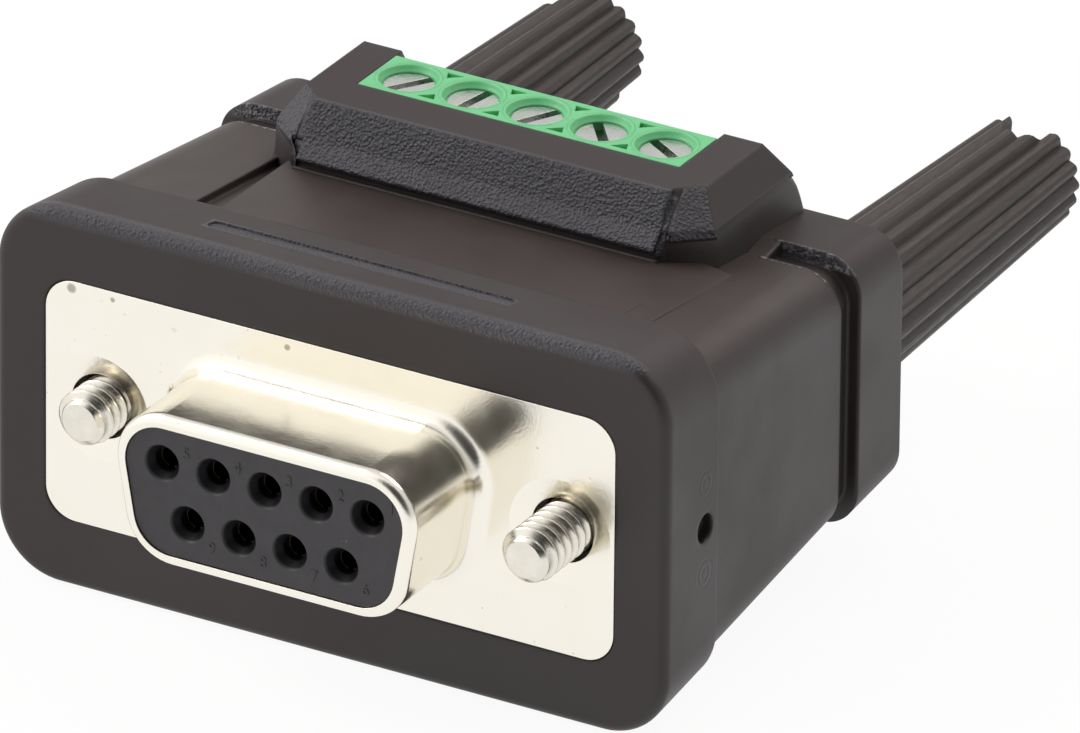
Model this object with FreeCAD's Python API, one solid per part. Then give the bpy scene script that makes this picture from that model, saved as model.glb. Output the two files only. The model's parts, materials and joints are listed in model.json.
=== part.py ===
import FreeCAD, Part
import math
import os

# Nine-way D-subminiature socket to five-way screw terminal adapter, in millimetres.
# It is modelled about the centre of the connector flange's front face: X across, Y from the
# mating side towards the rear, Z up. Every piece is then moved so that the part's origin is
# the bottom centre of its box.

V = FreeCAD.Vector
ACROSS = V(1, 0, 0)
REARWARD = V(0, 1, 0)
UP = V(0, 0, 1)

# Connector flange and D-shaped shell, to the common nine-way size
SCREW_SPACING = 24.99
FLANGE_EDGE = 2.91
FLANGE_WIDTH = SCREW_SPACING + 2 * FLANGE_EDGE
FLANGE_HEIGHT = 12.55
FLANGE_CORNER = 1.6
FRONT_PLATE = 0.6
REAR_PLATE = 0.5
FLANGE_HOLE_RADIUS = 1.65
DISH_RADIUS = 2.7
DISH_DEPTH = 0.25
SHELL_WIDTH = 16.2
SHELL_HEIGHT = 7.75
SHELL_CORNER = 2.6
SHELL_SIDE_ANGLE = 10.0
SHELL_PROJECTION = 5.95
SHELL_WALL = 0.6
SHELL_ROOT_FILLET = 0.9
SHELL_RIM_FILLET = 0.5
REAR_CUP_WIDTH = 19.2
REAR_CUP_HEIGHT = 10.7
REAR_CUP_DEPTH = 4.6
REAR_CUP_WALL = 0.4

# Contact field
CONTACT_PITCH = 2.77
ROW_SPACING = 2.84
TOP_ROW_COUNT = 5
BOTTOM_ROW_COUNT = 4
INSULATOR_RECESS = 0.1
INSULATOR_GAP = 0.03
INSULATOR_TAIL = 5.6
PIN_ENTRY_RADIUS = 0.6
COUNTERSINK_RADIUS = 0.95
COUNTERSINK_DEPTH = 0.45
ENTRY_DEPTH = 0.9
CONTACT_RADIUS = 0.8
CONTACT_BORE_RADIUS = 0.52
CONTACT_BORE_DEPTH = 4.5
CONTACT_SLIT = 0.25
CONTACT_SLIT_DEPTH = 3.2
CHAMBER_GAP = 0.05
TAIL_LENGTH = 5.0
TAIL_FLAT_LENGTH = 2.2
SOLDER_GAP = 0.02

# Circuit board
BOARD_THICKNESS = 1.6
BOARD_FRONT_GAP = 0.4
BOARD_CORNER = 0.8

# Housing: bezel, waist, groove and collar
BEZEL_WIDTH = 36.4
BEZEL_HEIGHT = 19.8
BEZEL_CORNER = 3.4
BEZEL_DEPTH = 5.5
BEZEL_SIDE_DRAFT = 0.15
BEZEL_TOP_DRAFT = 0.65
BEZEL_FILLET = 0.5
BEZEL_REAR_CHAMFER = 0.45
WAIST_FRONT_WIDTH = 35.5
WAIST_FRONT_HEIGHT = 16.5
WAIST_REAR_WIDTH = 34.5
WAIST_REAR_HEIGHT = 13.6
WAIST_CORNER = 2.1
WAIST_END = 18.1
GROOVE_WIDTH = 1.4
GROOVE_DEPTH = 0.45
GROOVE_TOP_START = 13.2
COLLAR_FRONT_WIDTH = 35.0
COLLAR_FRONT_HEIGHT = 14.1
COLLAR_REAR_WIDTH = 34.7
COLLAR_REAR_HEIGHT = 13.3
COLLAR_CORNER = 2.0
COLLAR_LENGTH = 4.65
COLLAR_CHAMFER = 0.35
PANEL_WIDTH = 23.2
PANEL_START = 6.2
PANEL_DEPTH = 0.45
GRIP_SLOT_LENGTH = 16.4
GRIP_SLOT_WIDTH = 0.9
GRIP_SLOT_DEPTH = 0.25
GRIP_SLOT_PLACE = 2.9
GATE_RADIUS = 0.75
GATE_DEPTH = 0.6
GATE_PLACE = 3.8
POCKET_GAP = 0.05

# Terminal hood on the housing: a faceted roof over an undercut wall, with a grip pad in front
HOOD_TOP = 10.66
HOOD_TOP_FRONT = 15.4
HOOD_TOP_REAR = 21.7
HOOD_TOP_CORNER = 9.74
HOOD_TOP_HALF = 10.87
HOOD_EDGE = 9.0
HOOD_EDGE_FRONT = 14.13
HOOD_EDGE_CORNER = 10.35
HOOD_EDGE_SHOULDER = 15.36
HOOD_HALF = 11.9
HOOD_UNDERSIDE = 8.75
HOOD_REAR_EDGE = 22.9
HOOD_REAR = 23.5
HOOD_REAR_FOOT = 7.0
UNDERCUT_DEPTH = 0.25
UNDERCUT_FRONT = 14.9
UNDERCUT_CORNER = 1.2
PAD_HALF = 9.7
PAD_TOP_FRONT = 14.95
PAD_BEND_FRONT = 14.1
PAD_NOSE_FRONT = 13.35
PAD_NOSE_HEIGHT = 8.2
PAD_FOOT_FRONT = 13.6
PAD_FOOT_HEIGHT = 8.05
PAD_ROOT_HEIGHT = 7.9
FLASH_HALF = 9.9
FLASH_HEIGHT = 7.6
FLASH_THICKNESS = 0.12

# Terminal block
POLES = 5
POLE_PITCH = 3.5
BLOCK_RIDGE_FRONT = 17.5
BLOCK_RIDGE_DEPTH = 3.6
BLOCK_FRONT = 16.5
BLOCK_REAR = 23.0
BLOCK_SHOULDER_HEIGHT = 8.4
BLOCK_REAR_SHOULDER = 5.6
SCREW_WELL_RADIUS = 1.62
HEAD_CLEARANCE = 0.08
HEAD_RECESS = 0.35
HEAD_THICKNESS = 1.2
HEAD_SLOT_WIDTH = 0.5
HEAD_SLOT_DEPTH = 0.6
HEAD_DOME = 0.12
TERMINAL_SCREW_RADIUS = 0.95
TERMINAL_THREAD_GAP = 0.04
TERMINAL_SCREW_TURNS_DEG = (57.0, 80.0, 62.0, 100.0, -32.0)
TICK_SIZE = 0.9
TICK_INSET = 0.35
TICK_REACH = 0.55
TICK_SKEW = 0.22
TICK_DEPTH = 0.35
CAGE_WIDTH = 2.9
CAGE_DEPTH = 3.0
CAGE_HEIGHT = 4.6
CAGE_WALL = 0.5
CAGE_CROWN = 1.0
CAGE_TRAVEL = 2.0
CAGE_GAP = 0.1
CAGE_FLOOR_HEIGHT = 0.6
ENTRY_WIDTH = 2.5
ENTRY_HEIGHT = 2.6
ENTRY_FLARE = 0.25
BAR_THICKNESS = 0.6
BAR_WIDTH = 1.6
BAR_GAP = 0.1
PIN_WIDTH = 0.8
PIN_BELOW_BOARD = 1.5
PIN_HOLE_GAP = 0.1

# Thumbscrews
SHAFT_RADIUS = 1.42
SHAFT_CHAMFER = 0.35
THREAD_LENGTH = 4.6
NECK_RADIUS = 1.15
NECK_LENGTH = 1.2
BORE_GAP = 0.08
SCREW_REACH = 5.0
LEFT_TIP = -1.81
RIGHT_TIP = -3.39
KNOB_STANDOFF = 0.1
KNOB_LENGTH = 19.3
KNOB_BASE_RADIUS = 3.6
KNOB_END_RADIUS = 2.92
KNOB_FLUTES = 20
KNOB_FLUTE_DEPTH = 0.28
KNOB_EDGE = 0.3
KNOB_SLOT_WIDTH = 2.2
KNOB_SLOT_DEPTH = 2.1
LEFT_SLOT_DEG = -45.0
RIGHT_SLOT_DEG = 3.0
SHAFT_IN_KNOB = 12.0
SHAFT_SEAT_GAP = 0.01
RING_THICKNESS = 0.6
RING_RADIUS = 2.6
RING_GAP = 0.05
RING_OPENING = 1.7
RING_PLACE = 12.0
RING_CHAMBER_GAP = 0.3
RING_WALL = 0.5
RING_STOP_GAP = 0.05

# Places that follow from the sizes above
COLLAR_START = WAIST_END + GROOVE_WIDTH
HOUSING_REAR = COLLAR_START + COLLAR_LENGTH
SCREW_X = SCREW_SPACING / 2
PLATES_REAR = FRONT_PLATE + REAR_PLATE
INSULATOR_FACE = -SHELL_PROJECTION + INSULATOR_RECESS
CONTACT_FRONT = INSULATOR_FACE + ENTRY_DEPTH
INSULATOR_REAR = PLATES_REAR + INSULATOR_TAIL
BOARD_FRONT = INSULATOR_REAR + BOARD_FRONT_GAP
BOARD_TOP = BOARD_THICKNESS / 2
BOARD_WIDTH = SCREW_SPACING - 2 * (RING_RADIUS + RING_CHAMBER_GAP + RING_WALL)
ROW_HEIGHT = ROW_SPACING / 2
TAIL_RADIUS = ROW_HEIGHT - BOARD_TOP - SOLDER_GAP
TAIL_END = INSULATOR_REAR + TAIL_LENGTH
BLOCK_HALF = POLES * POLE_PITCH / 2
BLOCK_TOP = HOOD_TOP
RIDGE_MIDDLE = BLOCK_RIDGE_FRONT + BLOCK_RIDGE_DEPTH / 2
RIDGE_REAR = BLOCK_RIDGE_FRONT + BLOCK_RIDGE_DEPTH
HEAD_TOP = BLOCK_TOP - HEAD_RECESS
HEAD_RADIUS = SCREW_WELL_RADIUS - HEAD_CLEARANCE
CAGE_BOTTOM = BOARD_TOP + CAGE_FLOOR_HEIGHT
CAGE_TOP = CAGE_BOTTOM + CAGE_HEIGHT
BAR_TOP = CAGE_TOP - CAGE_CROWN - BAR_GAP
BAR_BOTTOM = BAR_TOP - BAR_THICKNESS
WELL_BOTTOM = CAGE_TOP + CAGE_TRAVEL + 2 * CAGE_GAP
PIN_BOTTOM = -BOARD_TOP - PIN_BELOW_BOARD
SHAFT_EXPOSED = SCREW_REACH + HOUSING_REAR + KNOB_STANDOFF
THUMBSCREW_LENGTH = SHAFT_EXPOSED + KNOB_LENGTH
SHAFT_BORE_RADIUS = SHAFT_RADIUS + BORE_GAP
CHAMBER_START = RING_PLACE - SCREW_REACH - RING_STOP_GAP
CHAMBER_END = RING_PLACE + RING_THICKNESS + RING_STOP_GAP
PART_FRONT = -SHELL_PROJECTION
PART_REAR = max(LEFT_TIP, RIGHT_TIP) + THUMBSCREW_LENGTH
TO_ORIGIN = V(0, -(PART_FRONT + PART_REAR) / 2, BEZEL_HEIGHT / 2)


def rounded_wire(corners, radii, place):
    """A closed wire through plane corners, each rounded with its own radius."""
    starts, middles, ends = [], [], []
    count = len(corners)
    for i, corner in enumerate(corners):
        before = (corners[i - 1] - corner).normalize()
        after = (corners[(i + 1) % count] - corner).normalize()
        half = before.getAngle(after) / 2
        inward = (before + after).normalize()
        radius = radii[i]
        reach = radius / math.tan(half)
        starts.append(corner + before * reach)
        ends.append(corner + after * reach)
        middles.append(corner + inward * (radius / math.sin(half) - radius))
    edges = []
    for i in range(count):
        if radii[i] > 0:
            arc = Part.Arc(place(starts[i]), place(middles[i]), place(ends[i]))
            edges.append(arc.toShape())
        line = Part.LineSegment(place(ends[i]), place(starts[(i + 1) % count]))
        edges.append(line.toShape())
    return Part.Wire(edges)


def upright(y):
    """Places a plane point in the upright plane at depth y."""
    return lambda point: V(point.x, y, point.y)


def level(z):
    """Places a plane point in the level plane at height z."""
    return lambda point: V(point.x, point.y, z)


def rectangle_wire(width, height, radius, y):
    corners = [V(sx * width / 2, sz * height / 2, 0) for sx, sz in ((1, 1), (-1, 1), (-1, -1), (1, -1))]
    return rounded_wire(corners, [radius] * 4, upright(y))


def dee_wire(width, height, radius, y):
    """The D outline, widest at the top, with sides that lean in by the shell's angle."""
    lean = math.radians(SHELL_SIDE_ANGLE)
    half_top = width / 2 + radius * (math.tan(lean) + 1 / math.cos(lean) - 1)
    half_bottom = half_top - height * math.tan(lean)
    corners = [V(half_top, height / 2, 0), V(-half_top, height / 2, 0),
               V(-half_bottom, -height / 2, 0), V(half_bottom, -height / 2, 0)]
    return rounded_wire(corners, [radius] * 4, upright(y))


def dee_block(inset, start, end, width=SHELL_WIDTH, height=SHELL_HEIGHT):
    """A prism of the D outline, drawn in by the inset all round."""
    radius = max(SHELL_CORNER - inset, 0.3)
    wire = dee_wire(width - 2 * inset, height - 2 * inset, radius, start)
    return Part.Face(wire).extrude(REARWARD * (end - start))


def rectangle_block(width, height, radius, start, end):
    return Part.Face(rectangle_wire(width, height, radius, start)).extrude(REARWARD * (end - start))


def box(low, high):
    size = high - low
    return Part.makeBox(size.x, size.y, size.z, low)


def tapered_block(start_size, end_size, start, end, x=0, z=0):
    """A block along Y between two rectangles, given as (width, height), about one middle."""
    w0, h0 = start_size[0] / 2, start_size[1] / 2
    w1, h1 = end_size[0] / 2, end_size[1] / 2
    return Part.makeWedge(x - w0, start, z - h0, z - h1, x - w1, x + w0, end, z + h0, z + h1, x + w1)


def rounded_block(start_size, end_size, start, end, corner):
    """A tapered block with its four long edges rounded."""
    block = tapered_block(start_size, end_size, start, end)
    long_edges = [e for e in block.Edges if e.BoundBox.YMax - e.BoundBox.YMin > (end - start) / 2]
    return block.makeFillet(corner, long_edges)


def beyond_plane(a, b, c):
    """A thick disc that fills the side of the plane through three points towards its normal."""
    return Part.makeCylinder(2 * BEZEL_WIDTH, BEZEL_WIDTH, a, (b - a).cross(c - a))


def rod(x, z, radius, start, end):
    """A cylinder along Y."""
    return Part.makeCylinder(radius, end - start, V(x, start, z), REARWARD)


def edges_at_depth(shape, y):
    """Edges that lie wholly in the upright plane at depth y."""
    return [e for e in shape.Edges if abs(e.BoundBox.YMin - y) < 1e-4 and abs(e.BoundBox.YMax - y) < 1e-4]


def both_sides():
    """Each thumbscrew's name, its place across, its tip's depth at rest and its slot's angle."""
    return (("left", -SCREW_X, LEFT_TIP, LEFT_SLOT_DEG), ("right", SCREW_X, RIGHT_TIP, RIGHT_SLOT_DEG))


def contact_places():
    """Contacts 1 to 5 in the top row and 6 to 9 in the bottom row, seen from the front right."""
    places = []
    for count, height in ((TOP_ROW_COUNT, ROW_HEIGHT), (BOTTOM_ROW_COUNT, -ROW_HEIGHT)):
        for i in range(count):
            places.append(((count - 1) / 2 * CONTACT_PITCH - i * CONTACT_PITCH, height))
    return places


def pole_places():
    return [(i - (POLES - 1) / 2) * POLE_PITCH for i in range(POLES)]


def flange_holes(radius, start, end):
    return [rod(side * SCREW_X, 0, radius, start, end) for side in (-1, 1)]


def make_shell_front():
    """Drawn front shell: flange plate, D-shaped nose with flared root and rounded rim."""
    plate = rectangle_block(FLANGE_WIDTH, FLANGE_HEIGHT, FLANGE_CORNER, 0, FRONT_PLATE)
    nose = dee_block(0, -SHELL_PROJECTION, FRONT_PLATE)
    shell = plate.fuse(nose).removeSplitter()
    root = [e for e in edges_at_depth(shell, 0) if e.BoundBox.XMax - e.BoundBox.XMin < SHELL_WIDTH
            and e.BoundBox.ZMax < SHELL_HEIGHT / 2 + 0.1 and e.BoundBox.ZMin > -SHELL_HEIGHT / 2 - 0.1
            and e.BoundBox.XMax < SHELL_WIDTH / 2 + 0.5 and e.BoundBox.XMin > -SHELL_WIDTH / 2 - 0.5]
    shell = shell.makeFillet(SHELL_ROOT_FILLET, root)
    shell = shell.makeFillet(SHELL_RIM_FILLET, edges_at_depth(shell, -SHELL_PROJECTION))
    shell = shell.cut(dee_block(SHELL_WALL, -SHELL_PROJECTION - 1, FRONT_PLATE + 1))
    for side in (-1, 1):
        dish = Part.makeCone(DISH_RADIUS, FLANGE_HOLE_RADIUS, DISH_DEPTH, V(side * SCREW_X, 0, 0), REARWARD)
        shell = shell.cut(dish)
    return shell.cut(flange_holes(FLANGE_HOLE_RADIUS, -1, FRONT_PLATE + 1))


def make_shell_rear():
    """Rear shell: plate behind the front one and a short cup round the rear insulator."""
    plate = rectangle_block(FLANGE_WIDTH, FLANGE_HEIGHT, FLANGE_CORNER, FRONT_PLATE, PLATES_REAR)
    cup_end = PLATES_REAR + REAR_CUP_DEPTH
    cup = dee_block(0, FRONT_PLATE, cup_end, REAR_CUP_WIDTH, REAR_CUP_HEIGHT)
    hollow = dee_block(REAR_CUP_WALL, FRONT_PLATE - 1, cup_end + 1, REAR_CUP_WIDTH, REAR_CUP_HEIGHT)
    shell = plate.fuse(cup).removeSplitter().cut(hollow)
    return shell.cut(flange_holes(FLANGE_HOLE_RADIUS, 0, PLATES_REAR + 1))


def make_insulator_front():
    """Front insulator in the nose, with a countersunk entry and a chamber for each contact."""
    body = dee_block(SHELL_WALL + INSULATOR_GAP, INSULATOR_FACE, FRONT_PLATE)
    for x, z in contact_places():
        sink = Part.makeCone(COUNTERSINK_RADIUS, PIN_ENTRY_RADIUS, COUNTERSINK_DEPTH,
                             V(x, INSULATOR_FACE, z), REARWARD)
        entry = rod(x, z, PIN_ENTRY_RADIUS, INSULATOR_FACE, CONTACT_FRONT)
        chamber = rod(x, z, CONTACT_RADIUS + CHAMBER_GAP, CONTACT_FRONT - CHAMBER_GAP, FRONT_PLATE)
        body = body.cut([sink, entry, chamber])
    return body


def make_insulator_rear():
    """Rear insulator in the rear cup, which holds the contacts from behind."""
    inset = REAR_CUP_WALL + INSULATOR_GAP
    body = dee_block(inset, FRONT_PLATE, INSULATOR_REAR, REAR_CUP_WIDTH, REAR_CUP_HEIGHT)
    radius = CONTACT_RADIUS + CHAMBER_GAP
    return body.cut([rod(x, z, radius, FRONT_PLATE, INSULATOR_REAR) for x, z in contact_places()])


def make_contact(x, z):
    """Turned socket contact: slit barrel in front, stepped tail with an outer flat behind."""
    contact = rod(x, z, CONTACT_RADIUS, CONTACT_FRONT, INSULATOR_REAR)
    contact = contact.fuse(rod(x, z, TAIL_RADIUS, INSULATOR_REAR, TAIL_END)).removeSplitter()
    bore = rod(x, z, CONTACT_BORE_RADIUS, CONTACT_FRONT, CONTACT_FRONT + CONTACT_BORE_DEPTH)
    slit = box(V(x - CONTACT_SLIT / 2, CONTACT_FRONT, z - CONTACT_RADIUS),
               V(x + CONTACT_SLIT / 2, CONTACT_FRONT + CONTACT_SLIT_DEPTH, z + CONTACT_RADIUS))
    outer = z + math.copysign(TAIL_RADIUS, z)
    flat = box(V(x - TAIL_RADIUS, TAIL_END - TAIL_FLAT_LENGTH, min(z, outer)),
               V(x + TAIL_RADIUS, TAIL_END, max(z, outer)))
    return contact.cut([bore, slit, flat])


def make_circuit_board():
    """Board between the contact tails, drilled for the terminal pins."""
    half = BOARD_WIDTH / 2
    corners = [V(half, BLOCK_REAR, 0), V(-half, BLOCK_REAR, 0),
               V(-half, BOARD_FRONT, 0), V(half, BOARD_FRONT, 0)]
    wire = rounded_wire(corners, [BOARD_CORNER] * 4, level(-BOARD_TOP))
    board = Part.Face(wire).extrude(UP * BOARD_THICKNESS)
    hole_radius = PIN_WIDTH / math.sqrt(2) + PIN_HOLE_GAP
    holes = [Part.makeCylinder(hole_radius, BOARD_THICKNESS, V(x, BLOCK_FRONT + PIN_WIDTH, -BOARD_TOP))
             for x in pole_places()]
    return board.cut(holes)


def block_outline(grow):
    """Side view of the terminal block as a list of (y, z), grown all round by a gap."""
    return [V(BLOCK_FRONT - grow, BOARD_TOP, 0),
            V(BLOCK_FRONT - grow, BLOCK_SHOULDER_HEIGHT + grow, 0),
            V(BLOCK_RIDGE_FRONT - grow, BLOCK_SHOULDER_HEIGHT + grow, 0),
            V(BLOCK_RIDGE_FRONT - grow, BLOCK_TOP, 0),
            V(RIDGE_REAR, BLOCK_TOP, 0),
            V(RIDGE_REAR, BLOCK_SHOULDER_HEIGHT, 0),
            V(BLOCK_REAR, BLOCK_REAR_SHOULDER, 0),
            V(BLOCK_REAR, BOARD_TOP, 0)]


def side_prism(points, half_width):
    """A prism across X from a side view outline of (y, z) points."""
    loop = [V(-half_width, p.x, p.y) for p in points]
    return Part.Face(Part.makePolygon(loop + loop[:1])).extrude(ACROSS * (2 * half_width))


def make_terminal_housing():
    """Green block: screw wells in the ridge, cage chambers and flared wire entries below."""
    block = side_prism(block_outline(0), BLOCK_HALF)
    front = RIDGE_MIDDLE - CAGE_DEPTH / 2 - CAGE_GAP
    rear = RIDGE_MIDDLE + CAGE_DEPTH / 2 + CAGE_GAP
    half = CAGE_WIDTH / 2 + CAGE_GAP
    for x in pole_places():
        mouth = V(x, RIDGE_MIDDLE, BLOCK_TOP)
        well = Part.makeCylinder(SCREW_WELL_RADIUS, HEAD_RECESS + HEAD_THICKNESS, mouth, -UP)
        throat = Part.makeCylinder(TERMINAL_SCREW_RADIUS + TERMINAL_THREAD_GAP,
                                   BLOCK_TOP - WELL_BOTTOM + CAGE_GAP, mouth, -UP)
        chamber = box(V(x - half, front, CAGE_BOTTOM - CAGE_GAP), V(x + half, rear, WELL_BOTTOM))
        entry_middle = (CAGE_BOTTOM + CAGE_WALL + BAR_BOTTOM) / 2
        entry = box(V(x - ENTRY_WIDTH / 2, rear - CAGE_GAP, entry_middle - ENTRY_HEIGHT / 2),
                    V(x + ENTRY_WIDTH / 2, BLOCK_REAR + 1, entry_middle + ENTRY_HEIGHT / 2))
        flare = entry_flare(x, entry_middle)
        slot = box(V(x - BAR_WIDTH / 2, BLOCK_FRONT, BOARD_TOP),
                   V(x + BAR_WIDTH / 2, front + CAGE_GAP, BAR_TOP))
        block = block.cut([well, throat, chamber, entry, flare, slot])
    return block.cut(ridge_ticks())


def entry_flare(x, middle):
    """Funnel mouth of a wire entry."""
    throat = (ENTRY_WIDTH, ENTRY_HEIGHT)
    mouth = (ENTRY_WIDTH + 2 * ENTRY_FLARE, ENTRY_HEIGHT + 2 * ENTRY_FLARE)
    return tapered_block(throat, mouth, BLOCK_REAR - 2 * ENTRY_FLARE, BLOCK_REAR, x, middle)


def ridge_ticks():
    """Small triangular sinks between the wells, along both edges of the ridge."""
    ticks = []
    for boundary in range(1, POLES):
        x = (boundary - POLES / 2) * POLE_PITCH
        for edge, inward in ((BLOCK_RIDGE_FRONT + TICK_INSET, 1), (RIDGE_REAR - TICK_INSET, -1)):
            loop = [V(x - TICK_SIZE / 2, edge, BLOCK_TOP), V(x + TICK_SIZE / 2, edge, BLOCK_TOP),
                    V(x + inward * TICK_SKEW, edge + inward * TICK_REACH, BLOCK_TOP)]
            ticks.append(Part.Face(Part.makePolygon(loop + loop[:1])).extrude(UP * -TICK_DEPTH))
    return ticks


def make_terminal_screw(x, turn):
    """Slotted screw whose domed head stays in its well and whose shank raises the cage."""
    head = Part.makeCylinder(HEAD_RADIUS, HEAD_THICKNESS, V(x, RIDGE_MIDDLE, HEAD_TOP - HEAD_THICKNESS))
    rim = [e for e in head.Edges if abs(e.BoundBox.ZMin - HEAD_TOP) < 1e-4]
    head = head.makeChamfer(HEAD_DOME, rim)
    shank = Part.makeCylinder(TERMINAL_SCREW_RADIUS, HEAD_TOP - BAR_TOP - BAR_GAP,
                              V(x, RIDGE_MIDDLE, BAR_TOP + BAR_GAP / 2))
    screw = head.fuse(shank).removeSplitter()
    slot = box(V(x - HEAD_RADIUS - 1, RIDGE_MIDDLE - HEAD_SLOT_WIDTH / 2, HEAD_TOP - HEAD_SLOT_DEPTH),
               V(x + HEAD_RADIUS + 1, RIDGE_MIDDLE + HEAD_SLOT_WIDTH / 2, HEAD_TOP + 1))
    slot.rotate(V(x, RIDGE_MIDDLE, 0), UP, turn)
    return screw.cut(slot)


def make_clamp_cage(x):
    """Rising cage: a folded window with a thick tapped crown."""
    low = V(x - CAGE_WIDTH / 2, RIDGE_MIDDLE - CAGE_DEPTH / 2, CAGE_BOTTOM)
    high = V(x + CAGE_WIDTH / 2, RIDGE_MIDDLE + CAGE_DEPTH / 2, CAGE_TOP)
    cage = box(low, high)
    window = box(V(low.x + CAGE_WALL, low.y - 1, low.z + CAGE_WALL),
                 V(high.x - CAGE_WALL, high.y + 1, high.z - CAGE_CROWN))
    tapped = Part.makeCylinder(TERMINAL_SCREW_RADIUS + TERMINAL_THREAD_GAP, CAGE_CROWN + 1,
                               V(x, RIDGE_MIDDLE, CAGE_TOP - CAGE_CROWN))
    return cage.cut([window, tapped])


def make_terminal_pin(x):
    """Current bar through the cage, bent down in front to a solder pin through the board."""
    bar_rear = RIDGE_MIDDLE + CAGE_DEPTH / 2
    bar = box(V(x - BAR_WIDTH / 2, BLOCK_FRONT, BAR_BOTTOM), V(x + BAR_WIDTH / 2, bar_rear, BAR_TOP))
    drop = box(V(x - BAR_WIDTH / 2, BLOCK_FRONT, BOARD_TOP),
               V(x + BAR_WIDTH / 2, BLOCK_FRONT + BAR_THICKNESS, BAR_TOP))
    pin_middle = BLOCK_FRONT + PIN_WIDTH
    pin = box(V(x - PIN_WIDTH / 2, pin_middle - PIN_WIDTH / 2, PIN_BOTTOM),
              V(x + PIN_WIDTH / 2, pin_middle + PIN_WIDTH / 2, BOARD_TOP + PIN_WIDTH))
    return bar.fuse([drop, pin]).removeSplitter()


def make_hood():
    """Faceted hood: sloping sides and front corners above its edge, an undercut wall below."""
    roof = side_prism([V(HOOD_EDGE_FRONT, HOOD_UNDERSIDE, 0), V(HOOD_EDGE_FRONT, HOOD_EDGE, 0),
                       V(HOOD_TOP_FRONT, HOOD_TOP, 0), V(HOOD_TOP_REAR, HOOD_TOP, 0),
                       V(HOOD_REAR_EDGE, HOOD_UNDERSIDE, 0)], HOOD_HALF)
    for side in (-1, 1):
        top_corner = V(side * HOOD_TOP_CORNER, HOOD_TOP_FRONT, HOOD_TOP)
        edge_corner = V(side * HOOD_EDGE_CORNER, HOOD_EDGE_FRONT, HOOD_EDGE)
        shoulder = V(side * HOOD_HALF, HOOD_EDGE_SHOULDER, HOOD_EDGE)
        top_side = V(side * HOOD_TOP_HALF, HOOD_TOP_REAR, HOOD_TOP)
        slope = [shoulder, shoulder + REARWARD, top_side]
        facet = [top_corner, edge_corner, shoulder]
        if side < 0:
            slope.reverse()
            facet.reverse()
        roof = roof.cut([beyond_plane(*slope), beyond_plane(*facet)])
        foot = [edge_corner, edge_corner - UP, shoulder]
        if side < 0:
            foot.reverse()
        roof = roof.cut(beyond_plane(*foot))
    low = WAIST_REAR_HEIGHT / 2 - GROOVE_DEPTH
    wall = side_prism([V(UNDERCUT_FRONT, low, 0), V(UNDERCUT_FRONT, HOOD_UNDERSIDE, 0),
                       V(HOOD_REAR_EDGE, HOOD_UNDERSIDE, 0), V(HOOD_REAR, HOOD_REAR_FOOT, 0),
                       V(HOOD_REAR, low, 0)], HOOD_HALF - UNDERCUT_DEPTH)
    front = edges_at_depth(wall, UNDERCUT_FRONT)
    wall = wall.makeChamfer(UNDERCUT_CORNER, [e for e in front if e.BoundBox.ZLength > e.BoundBox.XLength])
    return roof.fuse([wall, make_grip_pad()]).removeSplitter()


def make_grip_pad():
    """Raised pad on the hood's front with a bent-under foot, and the thin moulding line below it."""
    pad = side_prism([V(HOOD_TOP_FRONT, HOOD_TOP, 0), V(PAD_TOP_FRONT, HOOD_TOP, 0),
                      V(PAD_BEND_FRONT, HOOD_EDGE, 0), V(PAD_NOSE_FRONT, PAD_NOSE_HEIGHT, 0),
                      V(PAD_FOOT_FRONT, PAD_FOOT_HEIGHT, 0), V(UNDERCUT_FRONT, PAD_ROOT_HEIGHT, 0),
                      V(HOOD_TOP_FRONT, PAD_ROOT_HEIGHT, 0)], PAD_HALF)
    flash = box(V(-FLASH_HALF, PAD_NOSE_FRONT, FLASH_HEIGHT),
                V(FLASH_HALF, HOOD_TOP_FRONT, FLASH_HEIGHT + FLASH_THICKNESS))
    return pad.fuse(flash)


def waist_top(y):
    """Height of the waist's sloping top at depth y."""
    share = (y - BEZEL_DEPTH) / (WAIST_END - BEZEL_DEPTH)
    return (WAIST_FRONT_HEIGHT + share * (WAIST_REAR_HEIGHT - WAIST_FRONT_HEIGHT)) / 2


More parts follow.
